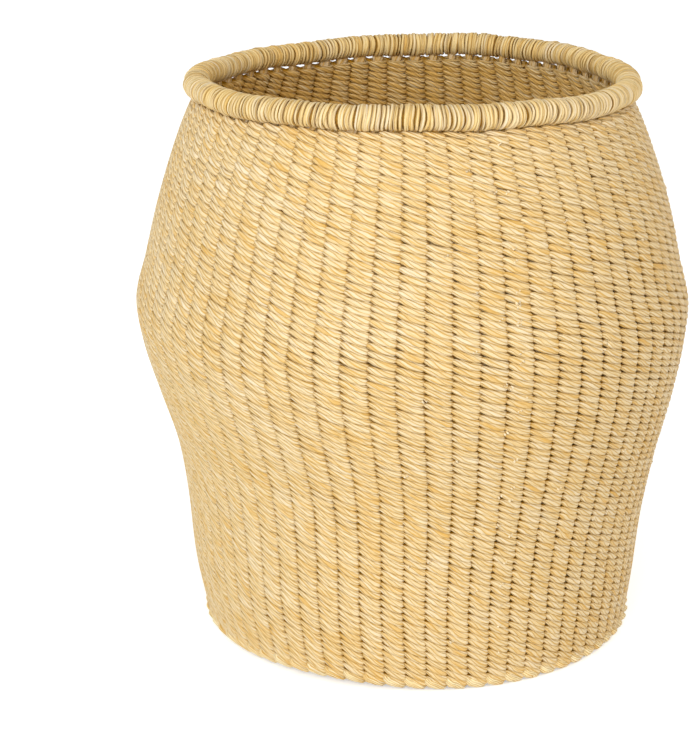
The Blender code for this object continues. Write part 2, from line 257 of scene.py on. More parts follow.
class BasketShape(bpy.types.PropertyGroup):
    foot_radius: length("Foot radius", "Outer face of the wall where it leaves the foot", 0.175)
    belly_radius: length("Belly radius", "Outer face at its widest", CAD_BOX[1][0])
    belly_height: length("Belly height", "Height of the widest round", LOWER_WALL[1][2])
    neck_radius: length("Neck radius", "Outer face under the rim", 0.172)
    wall_start: length("Wall start", "Lowest edge of the wall", LOWER_WALL[0][2])
    wall_top: length("Wall top", "Highest edge of the wall", UPPER_WALL[1][2] + WALL_INTO_RIM)
    stake_depth: length("Stake depth", "Stakes' middle behind the outer face", 0.0045)
    lean: length("Lean", "How far the rim leans to the left", 0.0067)
    lean_back: length("Lean back", "How far the rim leans to the back", 0.0106)
    foot_lift: length("Foot lift", "How far the foot's front left stands off the floor", 0.004)


class StrawWeave(bpy.types.PropertyGroup):
    pitch: length("Round pitch", "One round of twining to the next", 0.0054)
    lift: length("Lift", "Strand's middle out from the stakes' middle", 0.0027)
    slant: length("Slant", "Strand's rise and fall about its round", 0.0020)
    crown: length("Crown", "Half the strand's height over a stake", 0.00305)
    thickness: length("Half thickness", "Half the strand's thickness over a stake", 0.0019)
    swell: length("Half swell", "Half its thickness where it passes between two stakes", 0.0024)
    foot_strand: length("Foot strand", "Half the thickness of a foot strand", 0.0028)
    stake_width: length("Stake width", "Width of a stake's bundle", 0.0042)
    stake_thickness: length("Stake thickness", "Thickness of a stake's bundle", 0.0030)


class BoundRim(bpy.types.PropertyGroup):
    radius: length("Rim radius", "Middle of the rim's bundle", 0.169)
    half_width: length("Half width", "Half the rim's width", 0.010)
    half_depth: length("Half depth", "Half the rim's height", 0.009)
    turns: IntProperty(name="Turns", description="Turns of the binding straw", default=340)
    strip: length("Half strip", "Half the binding straw's width", 0.00158)
    thickness: length("Half thickness", "Half its thickness", 0.0015)


class StrawColours(bpy.types.PropertyGroup):
    deep: colour("Deep", "Straw in its darker streaks", (0.72, 0.43, 0.11))
    gold: colour("Gold", "Most of the straw", (0.79, 0.61, 0.33))
    pale: colour("Pale", "Creamy streaks", (0.84, 0.70, 0.48))
    # Painted shade: this colour darkens the straw between strands, where they dive and come out, on
    # the stakes and at the edges of the binding, mixed in by the depth
    crevice_shade: colour("Crevice", "Shaded straw deep between strands", (0.36, 0.17, 0.012))
    stake: colour("Stake", "Bundled stakes", (0.78, 0.58, 0.30))
    foot: colour("Foot", "Tawny pair round the foot", (0.99, 0.85, 0.52))
    rim: colour("Rim", "Binding straw", (0.82, 0.615, 0.28))
    cut: colour("Cut end", "Freshly cut end of a straw", (0.90, 0.76, 0.52))


class WhiteStage(bpy.types.PropertyGroup):
    camera_back: length("Camera back", "Camera's distance in front of the base's middle", 1.796)
    camera_height: length("Camera height", "Camera's height above the floor", 0.7814)
    camera_pitch: angle("Pitch", "Camera looks down by", 17.73)
    camera_turn: angle("Turn", "Camera looks left by", 1.76)
    camera_roll: angle("Roll", "Camera is tipped to its left by", 0.1)
    lens: FloatProperty(name="Lens", description="Focal length", default=113.8, unit="CAMERA")
    key: FloatProperty(name="Key", description="Lamp from the left, in watts", default=76.0)
    fill: FloatProperty(name="Fill", description="Lamp from the right, in watts", default=33.0)
    top: FloatProperty(name="Top", description="Lamp from above the camera, in watts", default=55.0)
    sky: FloatProperty(name="Sky", description="Strength of the white surroundings", default=0.58)


class BasketSettings(bpy.types.PropertyGroup):
    shape: PointerProperty(type=BasketShape)
    weave: PointerProperty(type=StrawWeave)
    rim: PointerProperty(type=BoundRim)
    colours: PointerProperty(type=StrawColours)
    stage: PointerProperty(type=WhiteStage)


def settings():
    return bpy.context.scene.basket


def smooth_through(knots, values, at):
    """A curve through the points that never overshoots them: a cubic between each two knots,
    whose slope at a knot is the harmonic mean of the slopes on its two sides."""
    run = np.diff(knots)
    rise = np.diff(values) / run
    product = rise[:-1] * rise[1:]
    total = np.where(product > 0, rise[:-1] + rise[1:], 1.0)
    inner = np.where(product > 0, 2 * product / total, 0.0)
    slopes = np.concatenate((rise[:1], inner, rise[-1:]))
    k = np.clip(np.searchsorted(knots, at, side="right") - 1, 0, len(run) - 1)
    t = (at - knots[k]) / run[k]
    return (
        values[k] * (1 + 2 * t) * (1 - t) ** 2
        + values[k + 1] * t**2 * (3 - 2 * t)
        + run[k] * slopes[k] * t * (1 - t) ** 2
        + run[k] * slopes[k + 1] * t**2 * (t - 1)
    )


def stake_line():
    """The line that the stakes' middles follow up the wall: its length from the wall's start, and
    for each point of it the radius, the height and the two parts of the direction outwards."""
    shape = settings().shape
    low, high = np.array(LOWER_SHARES), np.array(UPPER_SHARES)
    knots = np.concatenate((
        shape.wall_start + low[:, 0] * (shape.belly_height - shape.wall_start),
        shape.belly_height + high[:, 0] * (shape.wall_top - shape.belly_height),
    ))
    values = np.concatenate((
        shape.foot_radius + low[:, 1] * (shape.belly_radius - shape.foot_radius),
        shape.belly_radius - high[:, 1] * (shape.belly_radius - shape.neck_radius),
    ))
    height = np.linspace(shape.wall_start, shape.wall_top, 600)
    radius = smooth_through(knots, values, height) - shape.stake_depth
    along = np.concatenate(([0.0], np.cumsum(np.hypot(np.diff(radius), np.diff(height)))))
    rise, swell = np.gradient(height, along), np.gradient(radius, along)
    blur = np.hanning(41) / np.hanning(41).sum()
    rise, swell = (np.convolve(np.pad(row, 20, "edge"), blur, "valid") for row in (rise, swell))
    return along, radius, height, rise, -swell


def azimuth(place):
    return (place - SIDE_MIDDLE) * STEP


def on_wall(up, place, out):
    """The point this far up the wall's line, at this place round it, and this far outwards."""
    along, *rows = stake_line()
    radius, height, out_radius, out_height = (np.interp(up, along, row) for row in rows)
    past = up - np.clip(up, along[0], along[-1])
    radius = radius + out * out_radius - past * out_height
    height = height + out * out_height + past * out_radius
    turn = azimuth(place)
    return np.stack((radius * np.cos(turn), radius * np.sin(turn), height), -1)


def settled(points):
    """Hand-made shape: the basket leans to the left and a little back with its height, its axis
    bends by some millimetres on the way, it is out of round by a millimetre, its rim rises and
    falls, highest at the front, and its foot stands off the floor a little at the front left. A
    point's radius and height change by slow waves round it that grow from the floor, and the
    stakes wander sideways as they rise."""
    x, y, z = points[..., 0], points[..., 1], points[..., 2]
    shape = settings().shape
    share = np.clip(z / shape.wall_top, 0, RIM_TOP_SHARE)
    turn = np.arctan2(y, x)
    radius = np.hypot(x, y)
    radius = radius + OVAL * share * np.cos(2 * turn + 1.0) + FIVE_SIDES * share * np.sin(5 * turn)
    waves = sum(right * np.cos(n * turn) + back * np.sin(n * turn) for n, right, back in RIM_WAVES)
    height = np.maximum(z + share * waves, 0.0)
    near_lift = np.maximum(np.cos(turn - LIFTED_AT), 0) ** 8 * np.hypot(x, y) / shape.foot_radius
    height = height + shape.foot_lift * near_lift * (1 - np.minimum(share, 1)) ** 4
    turn = turn + SWAY * share * np.sin(7 * share + 3 * turn)
    lean = shape.lean * share - smooth_through(*np.array(AXIS_BEND).T, share)
    back = shape.lean_back * share
    return np.stack((radius * np.cos(turn) - lean, radius * np.sin(turn) + back, height), -1)


def wander(rng, at, every, size):
    """Smooth random change along a line: normal random numbers set this far apart, with a
    straight line between each two."""
    knots = np.arange(at.min() - every, at.max() + 2 * every, every)
    return size * np.interp(at, knots, rng.standard_normal(len(knots)))


def patches(rng, at, every, size):
    """A change that jumps where one straw ends and the next is laid in, at random lengths."""
    count = int((at.max() - at.min()) / every) + 2
    starts = at.min() + np.cumsum(rng.uniform(0.5, 1.5, count) * every)
    return (size * rng.standard_normal(count + 1))[np.searchsorted(starts, at)]


def unit(vectors):
    return vectors / np.linalg.norm(vectors, axis=-1, keepdims=True)


def length_along(centres):
    """The length of a line of points from its first point to each of them."""
    return np.concatenate(([0], np.cumsum(np.linalg.norm(np.diff(centres, axis=0), axis=1))))


def ring_turns(sides):
    """The angles of a ring's points, half a step away from its widest point."""
    return 2 * np.pi * (np.arange(sides) + 0.5) / sides


def near(phase, middle, height, slope):
    """A trapezium over a middle: the height less the distance times the slope, between 0 and 1."""
    return np.clip(height - slope * np.abs(phase - middle), 0, 1)


def straw(centres, outward, half_width, half_thickness, sides=8, square=0.78):
    """The rings of one straw along a line of centres. A ring is a rounded oval, its width square
    to the line and to the direction outwards: sine and cosine of the angle round it, each raised
    to the power square with its sign kept, times the half sizes."""
    tangent = unit(np.gradient(centres, axis=0))
    across = unit(np.cross(tangent, outward))
    out = np.cross(across, tangent)
    turn = ring_turns(sides)
    wide, thick = (np.sign(f(turn)) * np.abs(f(turn)) ** square for f in (np.cos, np.sin))
    half_width, half_thickness = (
        np.broadcast_to(row, len(centres))[:, None, None] for row in (half_width, half_thickness)
    )
    return (
        centres[:, None]
        + half_width * wide[None, :, None] * across[:, None]
        + half_thickness * thick[None, :, None] * out[:, None]
    )


def piece(name, straws, material, replaced=()):
    """One mesh of closed straws. Each is a dict of its rings, the length along it, its tone and
    its depth, how deep it lies, which sets how much painted shade darkens it. A ring's points are
    joined in quads to the next ring's, and each end is closed by quads that fan out from its first
    point. The map named lay holds the length along the straw and the length round it, in metres."""
    points, quads, lay, tones, painted_shades = [], [], [], [], []
    first = 0
    for one in straws:
        rings = one["rings"]
        count, sides = rings.shape[:2]
        index = first + np.arange(count * sides).reshape(count, sides)
        after = np.roll(index, -1, axis=1)
        body = np.stack((index[:-1], after[:-1], after[1:], index[1:]), -1).reshape(-1, 4)
        fan = np.array([(0, i, i + 1, i + 2) for i in range(1, sides - 2, 2)])
        quads += [body, index[0][fan[:, ::-1]], index[-1][fan]]
        girth = np.linalg.norm(np.diff(rings, axis=1, append=rings[:, :1]), axis=2).sum(1).mean()
        around = np.arange(sides + 1) * girth / sides
        along = np.broadcast_to(one["along"][:, None], (count, sides))
        u = np.stack((along[:-1], along[:-1], along[1:], along[1:]), -1)
        v = np.stack((around[:-1], around[1:], around[1:], around[:-1]), -1)
        v = np.broadcast_to(v, (count - 1, sides, 4))
        lay.append(np.stack((u, v), -1).reshape(-1, 2))
        for row, ring in ((0, fan[:, ::-1]), (-1, fan)):
            flat = np.stack((np.full(ring.shape, one["along"][row]), around[ring]), -1)
            lay.append(flat.reshape(-1, 2))
        points.append(rings.reshape(-1, 3))
        tones.append(np.broadcast_to(one["tone"], (count, sides)).ravel())
        painted_shades.append(np.broadcast_to(one["depth"], (count, sides)).ravel())
        first += count * sides
    points, quads, lay = np.concatenate(points), np.concatenate(quads), np.concatenate(lay)
    mesh = bpy.data.meshes.new(name)
    mesh.vertices.add(len(points))
    mesh.vertices.foreach_set("co", settled(points).ravel())
    mesh.loops.add(quads.size)
    mesh.loops.foreach_set("vertex_index", quads.ravel())
    mesh.polygons.add(len(quads))
    mesh.polygons.foreach_set("loop_start", np.arange(0, quads.size, 4))
    mesh.update(calc_edges=True)
    mesh.shade_smooth()
    mesh.uv_layers.new(name="lay").data.foreach_set("uv", lay.ravel())
    for label, values in (("tone", tones), ("depth", painted_shades)):
        attribute = mesh.attributes.new(label, "FLOAT", "POINT")
        attribute.data.foreach_set("value", np.concatenate(values))
    mesh.materials.append(material)
    obj = bpy.data.objects.new(name, mesh)
    bpy.context.scene.collection.objects.link(obj)
    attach(obj, "root")
    if replaced:
        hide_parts(*replaced)


def twined(surface, low, high, count, seed, phases, sides=8):
    """The two strands of a pair-twined spiral that fills a surface from low to high. Along two
    stakes' length a strand stays outside for OUTSIDE of a stake to each side of the first stake
    and inside for the rest. Its partner is one stake behind, so past the middle of each gap the
    one that dives lies under the one that comes out. Outside it falls to the right: fast where it
    comes out, as FALL says, and nearer level over the stake. Its half height narrows towards both
    ends as SPINDLE says. Its place, height and width vary a little from stake to stake. Its depth,
    which paints shade on it, is greatest where it dives and comes out, and next along its edges.
    The first and the last turn taper, so that both edges are level."""
    weave = settings().weave
    turns = (high - low) / weave.pitch
    strands = []
    for strand in range(2):
        rng = np.random.default_rng(seed * 2 + strand)
        stakes = 2 * np.arange(int(turns * count / 2) + 2 * count)
        place = (stakes[:, None] + phases).ravel() + strand
        phase = np.tile(phases, len(place) // len(phases))
        turn = place / count
        kept = (turn > TRIMMED) & (turn < turns + 1 - TRIMMED)
        place, phase, turn = place[kept], phase[kept], turn[kept]
        lower = np.clip((turn - 1) * weave.pitch, 0, high - low)
        upper = np.clip(turn * weave.pitch, 0, high - low)
        share = (upper - lower) / weave.pitch
        wave = np.cos(np.pi * phase) - np.cos(np.pi * OUTSIDE)
        out = weave.lift * np.sin(np.pi / 2 * np.clip(CLING * wave, -1, 1))
        fall = np.interp(phase, *FALL)
        level = (lower + upper) / (2 * (high - low))
        slant = weave.slant * np.interp(level, *SLANT_BY_LEVEL)
        up = low + (lower + upper) / 2 - share * slant * np.sin(EASE * fall) / np.sin(EASE)
        up = up + share * wander(rng, place, 1.0, UNEVEN_HEIGHT)
        half_width = share * weave.crown * np.interp(phase, *SPINDLE) ** (1.5 - 0.7 * level)
        half_width = half_width * (1 + wander(rng, place, 1.0, UNEVEN_WIDTH))
        crossing = np.clip(1 - np.abs(out) / weave.lift, 0, 1)
        half_thickness = weave.thickness + (weave.swell - weave.thickness) * crossing
        half_thickness = half_thickness * (0.4 + 0.6 * share)
        place = place + wander(rng, place, 1.0, UNEVEN_PLACE)
        centres = surface(up, place, out)
        outward = unit(surface(up, place, out + NUDGE) - centres)
        rings = straw(centres, outward, half_width, half_thickness, sides)
        along = length_along(centres) + PATTERN_SHIFT * strand
        around = ring_turns(sides)
        tone = 0.5 + patches(rng, place, STRAW_RUN, 0.04) + wander(rng, place, 1.0, 0.03)
        # Painted shade: the inward-facing half of each strand, which is what shows inside the
        # basket, takes a lower, deeper tone
        tone = tone[:, None] + 0.35 * np.minimum(np.sin(around), 0)
        # Painted shade: dark where the strand dives under its partner and where it comes out,
        # weaker where it runs inside, and along its two edges; less of it higher up the wall
        dive_shade = near(phase, DIVES_AT, 1.8, 11) + near(phase, COMES_OUT_AT, 1.6, 9)
        dive_shade = dive_shade * np.interp(out, (-weave.lift, 0), (INNER_SHADE, 1))
        edge = np.interp(phase, *EDGE_SHADE)[:, None] * np.cos(around) ** 2
        depth = (1 - 0.3 * level)[:, None] * (dive_shade[:, None] + edge)
        strands.append({"rings": rings, "along": along, "tone": tone, "depth": depth})
    return strands


def banded(strands, pieces):
    """Cuts each strand across into this many lengths, which meet ring to ring."""
    bands = []
    for number in range(pieces):
        band = []
        for one in strands:
            cuts = np.linspace(0, len(one["tone"]) - 1, pieces + 1).astype(int)
            part = slice(cuts[number], cuts[number + 1] + 1)
            band.append({key: row[part] for key, row in one.items()})
        bands.append(band)
    return bands


def node(tree, kind, inputs=(), **values):
    """Adds a node and sets its values and inputs. An input is a plain value or another's output."""
    made = tree.nodes.new(kind)
    for key, value in values.items():
        setattr(made, key, value)
    for key, value in dict(inputs).items():
        if isinstance(value, bpy.types.NodeSocket):
            tree.links.new(value, made.inputs[key])
        else:
            made.inputs[key].default_value = value
    return made


def ramp(tree, factor, stops):
    """A colour ramp over the stops, each a place and a colour."""
    made = node(tree, "ShaderNodeValToRGB", {"Fac": factor})
    elements = made.color_ramp.elements
    while len(elements) < len(stops):
        elements.new(0.5)
    for element, (place, rgb) in zip(elements, stops):
        element.position = place
        element.color = (*rgb, 1.0)
    return made.outputs["Color"]


def math_node(tree, operation, first, second=0.0, third=0.0, clamp=False):
    inputs = {0: first, 1: second, 2: third}
    return node(tree, "ShaderNodeMath", inputs, operation=operation, use_clamp=clamp).outputs[0]


def new_material(name):
    """An empty material, its node tree and its shader."""
    material = bpy.data.materials.new(name)
    material.use_nodes = True
    tree = material.node_tree
    return material, tree, tree.nodes["Principled BSDF"]


def seen_directly(tree):
    """1 for what the camera sees straight, in a reflection or through glass, and 0 for the rest."""
    path = node(tree, "ShaderNodeLightPath")
    seen = math_node(tree, "MAXIMUM", path.outputs["Is Camera Ray"], path.outputs["Is Glossy Ray"])
    return math_node(tree, "MAXIMUM", seen, path.outputs["Is Transmission Ray"])


def straw_material(name, middle, twist=0.19, stem=0.0018, streak=1.0):
    """Dried grass. Stems lie side by side at a slant across the straw, each with its own tone, with
    grooves between them that darken the colour as painted shade. Fine streaks and broader blades
    are noise stretched along them. These, the straw's tone and slow mottling pick the colour
    between deep, middle and pale, and the dark colour of painted shade in the crevices takes over
    with the square of the depth. Twist is the stems' slant, stem the width of one, and streak the
    strength of all streaks."""
    colours = settings().colours
    material, tree, shader = new_material(name)
    lay = node(tree, "ShaderNodeUVMap", uv_map="lay").outputs["UV"]
    split = node(tree, "ShaderNodeSeparateXYZ", {"Vector": lay})
    slanted = math_node(tree, "MULTIPLY_ADD", split.outputs["X"], twist, split.outputs["Y"])

    def stretched(along, across, detail):
        vector = node(tree, "ShaderNodeCombineXYZ", {
            "X": math_node(tree, "MULTIPLY", split.outputs["X"], along),
            "Y": math_node(tree, "MULTIPLY", slanted, across),
        })
        return node(tree, "ShaderNodeTexNoise", {
            "Vector": vector.outputs[0], "Scale": 1.0, "Detail": detail, "Roughness": 0.6,
        }).outputs["Fac"]

    fine = stretched(along=38.0, across=1400.0, detail=2.0)
    blades = stretched(along=20.0, across=520.0, detail=2.0)
    drift = stretched(along=60.0, across=90.0, detail=1.0)
    drift = math_node(tree, "MULTIPLY", drift, 1.6)
    stems = math_node(tree, "MULTIPLY_ADD", slanted, 1 / stem, drift)
    number = math_node(tree, "FLOOR", stems)
    apart = node(tree, "ShaderNodeCombineXYZ", {
        "X": math_node(tree, "MULTIPLY", split.outputs["X"], 30.0),
        "Y": math_node(tree, "MULTIPLY", number, 7.3),
    })
    own = node(tree, "ShaderNodeTexNoise", {
        "Vector": apart.outputs[0], "Scale": 1.0, "Detail": 1.0,
    }).outputs["Fac"]
    round_stem = math_node(tree, "SINE", math_node(tree, "MULTIPLY", stems, np.pi))
    round_stem = math_node(tree, "ABSOLUTE", round_stem)
    place = node(tree, "ShaderNodeTexCoord").outputs["Object"]
    mottle = node(tree, "ShaderNodeTexNoise", {"Vector": place, "Scale": 14.0, "Detail": 3.0})
    value = node(tree, "ShaderNodeAttribute", attribute_name="tone").outputs["Fac"]
    depth = node(tree, "ShaderNodeAttribute", attribute_name="depth").outputs["Fac"]
    for part, weight in (
        (fine, 1.4 * streak),
        (blades, 0.9 * streak),
        (own, 1.1 * streak),
        (mottle.outputs["Fac"], 0.35),
    ):
        part = math_node(tree, "SUBTRACT", part, 0.5)
        value = math_node(tree, "MULTIPLY_ADD", part, weight, value)
    # Painted shade: the grooves between stems darken the colour towards deep
    groove_shade = math_node(tree, "POWER", math_node(tree, "SUBTRACT", 1.0, round_stem), 3.0)
    value = math_node(tree, "MULTIPLY_ADD", groove_shade, -0.85 * streak, value)
    colour_now = ramp(tree, value, ((0.05, colours.deep), (0.46, middle), (0.90, colours.pale)))
    # Painted shade: the square of the depth mixes the dark colour of the crevices into the straw's
    # colour
    shade = math_node(tree, "MULTIPLY", math_node(tree, "POWER", depth, 2.0), 1.05, clamp=True)
    inputs = {0: shade, 6: colour_now, 7: (*colours.crevice_shade, 1.0)}
    mixed = node(tree, "ShaderNodeMix", inputs, data_type="RGBA")
    tree.links.new(mixed.outputs[2], shader.inputs["Base Color"])
    relief = math_node(tree, "MULTIPLY_ADD", math_node(tree, "POWER", round_stem, 0.6), 1.0, fine)
    dented = node(tree, "ShaderNodeBump", {"Height": relief, "Strength": 0.9, "Distance": GROOVE})
    tree.links.new(dented.outputs["Normal"], shader.inputs["Normal"])
    polish = node(tree, "ShaderNodeMapRange", {
        "Value": fine, "From Min": 0.3, "From Max": 0.7, "To Min": 0.4, "To Max": 0.64,
    })
    tree.links.new(polish.outputs[0], shader.inputs["Roughness"])
    shine = math_node(tree, "MULTIPLY_ADD", depth, -0.4, 0.26, clamp=True)
    tree.links.new(shine, shader.inputs["Specular IOR Level"])
    return material


class StakesOperator(bpy.types.Operator):
    """Lays the stakes across each other under the base and bends them up the wall into the rim"""

    bl_idname = "basket.lay_stakes"
    bl_label = "Lay stakes"

    def execute(self, context):
        material = straw_material("stake straw", settings().colours.stake, streak=1.2)
        for name, level, quarter, first in (
            ("stakes_left_to_right", LEVELS[0], 0, 1),
            ("stakes_front_to_back", LEVELS[1], 1, 1 + len(CROSSING_PLACES)),
        ):
            straws = []
            for place in CROSSING_PLACES:
                x, offset = fan_start(place)
                one_half = stake_path(azimuth(place), x, offset, level)
                other_half = stake_path(-azimuth(place), x, -offset, level)
                other_half = tuple(row * (-1, -1, 1) for row in other_half[:2]) + other_half[2:]
                joined = [np.concatenate((b[::-1], a)) for a, b in zip(one_half, other_half)]
                straws.append(stake_straw(joined, quarter, 3 * place + quarter))
            numbers = range(first, first + len(CROSSING_PLACES))
            nodes = [f"crossing_stake_{number:02d}" for number in numbers]
            piece(name, straws, material, nodes)
        straws = []
        for quarter in range(4):
            for place in ADDED_PLACES:
                turn = azimuth(place)
                start = ADDED_RADIUS * np.array((np.cos(turn), np.sin(turn)))
                path = stake_path(turn, start[0], start[1], LEVELS[0])
                straws.append(stake_straw(path, quarter, 100 + 7 * place + quarter))
        nodes = [f"added_stake_{number:02d}" for number in range(1, len(straws) + 1)]
        piece("stakes_pushed_in_between", straws, material, nodes)
        return {"FINISHED"}


def fan_start(place):
    """Where a crossing stake leaves the crossing and fans out: the stakes lie side by side there,
    and the points are on a circle."""
    index = CROSSING_PLACES.index(place)
    offset = (index - (len(CROSSING_PLACES) - 1) / 2) * CROSSING_PITCH
    return np.sqrt(FAN_RADIUS**2 - offset**2), offset


def stake_path(turn, x, y, level):
    """A stake from a point of the base out to the foot, round the bend, a quarter of a circle,
    and up the wall into the rim: its centres, its outward directions and its widths."""
    shape, weave = settings().shape, settings().weave
    radial = np.array((np.cos(turn), np.sin(turn), 0.0))
    up = np.array((0.0, 0.0, 1.0))
    start = np.array((x, y, level))
    aim = BEND_START * radial + LEVELS[0] * up
    flat = start + np.linspace(0, 0.97, 9)[:, None] * (aim - start)
    bend = np.linspace(0, np.pi / 2, 6)[:-1, None]
    out_bend = np.sin(bend) * radial - np.cos(bend) * up
    round_bend = aim + BEND_RADIUS * up + BEND_RADIUS * out_bend
    along, radius, height, out_radius, out_height = stake_line()
    rows = np.linspace(0, len(along) - 1, 44).astype(int)
    wall = radius[rows, None] * radial + height[rows, None] * up
    wall_out = out_radius[rows, None] * radial + out_height[rows, None] * up
    top = wall[-1] + np.array(STAKE_ENDS)[:, None] * up
    centres = np.concatenate((flat, round_bend, wall, top))
    out_flat, out_top = np.tile(-up, (len(flat), 1)), np.tile(wall_out[-1], (len(top), 1))
    outward = np.concatenate((out_flat, out_bend, wall_out, out_top))
    return centres, outward, np.full(len(centres), weave.stake_width / 2)


def stake_straw(path, quarter, seed):
    """A stake's path turned by quarter turns round the basket, as a straw. Its loose end spreads
    inside the rim."""
    centres, outward, half_width = path
    if quarter:
        turn = np.pi / 2 * quarter
        spin = np.array((
            (np.cos(turn), np.sin(turn), 0.0), (-np.sin(turn), np.cos(turn), 0.0), (0.0, 0.0, 1.0),
        ))
        centres, outward = centres @ spin, outward @ spin
    rng = np.random.default_rng(1000 + seed)
    along = length_along(centres)
    top = settings().shape.wall_top
    spread_heights = (top + SPREAD_FROM, top + SPREAD_TO)
    spread = np.interp(centres[:, 2], spread_heights, (1.0, rng.uniform(1.5, 2.7)))
    half_width = half_width * spread * (1 + wander(rng, along, WIDTH_CHANGES, 0.05))
    rings = straw(centres, outward, half_width, settings().weave.stake_thickness / 2)
    tone = 0.5 + wander(rng, along, TONE_CHANGES, 0.08)
    # Painted shade: the stakes show only in the gaps of the weave, so all of a stake is darkened by
    # a constant depth
    depth = np.full((len(along), 1), 0.5)
    return {"rings": rings, "along": along + seed, "tone": tone[:, None], "depth": depth}


def base_turns(radius, count):
    """For each radius, the azimuths of the stakes there, in order round the basket. A crossing
    stake runs straight from the edge of the crossing to the foot, so its azimuth changes as it
    fans out, and an added one keeps its azimuth."""
    side = []
    run = np.linspace(0, 1, 60)
    for place in range(SIDE_STAKES):
        turn = azimuth(place)
        if place in ADDED_PLACES:
            if count == STAKES:
                side.append(np.full(len(radius), turn))
            continue
        start, offset = fan_start(place)
        x = start * (1 - run) + BEND_START * np.cos(turn) * run
        y = offset * (1 - run) + BEND_START * np.sin(turn) * run
        side.append(np.interp(radius, np.hypot(x, y), np.arctan2(y, x)))
    side = np.stack(side, 1)
    turns = np.concatenate([side + quarter * np.pi / 2 for quarter in range(4)], 1)
    return np.concatenate((turns, turns[:, :1] + 2 * np.pi), 1)


def on_base(count):
    """The base as a surface, with the radius as its way up and the floor as its outside. A place
    is turned to an azimuth between the two stakes on its sides, read from base_turns, or evenly
    where the stakes still cross. Its middle level falls from the crossing to the edge."""
    table = base_turns(BASE_RADII, count) if count >= 4 * len(CROSSING_PLACES) else None

    def surface(up, place, out):
        if table is None:
            turn = 2 * np.pi * place / count
        else:
            row = (up - BASE_RADII[0]) / (BASE_RADII[1] - BASE_RADII[0])
            row = np.clip(row, 0, len(BASE_RADII) - 1.001)
            low, share = row.astype(int), row % 1
            around = np.floor(place / count)
            within = place - around * count
            left = within.astype(int)
            part = within - left
            inner = table[low, left] * (1 - part) + table[low, left + 1] * part
            outer = table[low + 1, left] * (1 - part) + table[low + 1, left + 1] * part
            turn = inner * (1 - share) + outer * share + around * 2 * np.pi
        middle = np.interp(up, FAN_STARTS, BASE_MIDDLE)
        reach = np.interp(up, FAN_STARTS, BASE_REACH)
        return np.stack((up * np.cos(turn), up * np.sin(turn), middle - out * reach), -1)

    return surface


class BaseOperator(bpy.types.Operator):
    """Twines the base round and round, with more stakes to pass as it gets wider"""

    bl_idname = "basket.twine_base"
    bl_label = "Twine base"

    def execute(self, context):
        material = straw_material("base straw", settings().colours.gold)
        nodes = ("base_weft_outside", "base_weft_inside")
        for number, (label, low, high, count) in enumerate(BASE_ZONES):
            strands = twined(on_base(count), low, high, count, 50 + number, COARSE_PHASES, sides=6)
            piece(f"base_twining_{label}", strands, material, nodes)
        return {"FINISHED"}


class WallOperator(bpy.types.Operator):
    """Twines the wall from the foot to the neck in one unbroken spiral of two strands"""

    bl_idname = "basket.twine_wall"
    bl_label = "Twine wall"

    def execute(self, context):
        material = straw_material("wall straw", settings().colours.gold)
        strands = twined(on_wall, -WALL_TUCK, stake_line()[0][-1], STAKES, 10, FINE_PHASES)
        nodes = ("wall_weft_lower_outside", "wall_weft_upper_outside", "wall_weft_inside")
        for number, band in enumerate(banded(strands, WALL_BANDS), 1):
            piece(f"wall_twining_{number}", band, material, nodes)
        return {"FINISHED"}


class FootOperator(bpy.types.Operator):
    """Twines the heavy pair round the foot, slanting out and down from the bend of the stakes. A
    strand swings out and in with a cosine and down and up with a sine, once in two stakes"""

    bl_idname = "basket.twine_foot"
    bl_label = "Twine foot"

    def execute(self, context):
        weave = settings().weave
        material = straw_material("foot straw", settings().colours.foot, twist=0.2)
        samples = 10
        place = np.arange(STAKES * samples + 1) / samples
        turn = azimuth(place)
        radial = np.stack((np.cos(turn), np.sin(turn), 0 * turn), -1)
        up = np.array((0.0, 0.0, 1.0))
        out, rise = (radial - up) / np.sqrt(2), (radial + up) / np.sqrt(2)
        ring = FOOT_PAIR_RADIUS * radial + FOOT_PAIR_HEIGHT * up
        for strand in range(2):
            rng = np.random.default_rng(70 + strand)
            half_turn = np.pi * (place - strand)
            crown = np.abs(np.cos(half_turn)) ** 0.8
            swing = np.clip(FOOT_CLING * np.cos(half_turn), -1, 1)
            offset = STRAND_OFFSET * np.sin(np.pi / 2 * swing)[:, None]
            drop = STRAND_RISE * np.sin(half_turn)[:, None]
            centres = ring + offset * out - drop * rise
            half_width = weave.foot_strand * (1.05 + 0.45 * crown)
            half_thickness = weave.foot_strand * (1.0 - 0.15 * crown)
            rings = straw(centres, out, half_width, half_thickness, sides=10, square=0.8)
            rings[-1] = rings[0]
            along = length_along(centres)
            tone = 0.5 + patches(rng, place, 22, 0.1) + wander(rng, place, 1.0, 0.06)
            # Painted shade: the strand is darkened where it crosses its partner, between swinging
            # out and in
            depth = 0.8 * (1 - np.abs(offset) / STRAND_OFFSET)
            straws = [{"rings": rings, "along": along, "tone": tone[:, None], "depth": depth}]
            nodes = [f"foot_strand_{strand + 1}"]
            piece(f"foot_strand_straw_{strand + 1}", straws, material, nodes)
        return {"FINISHED"}


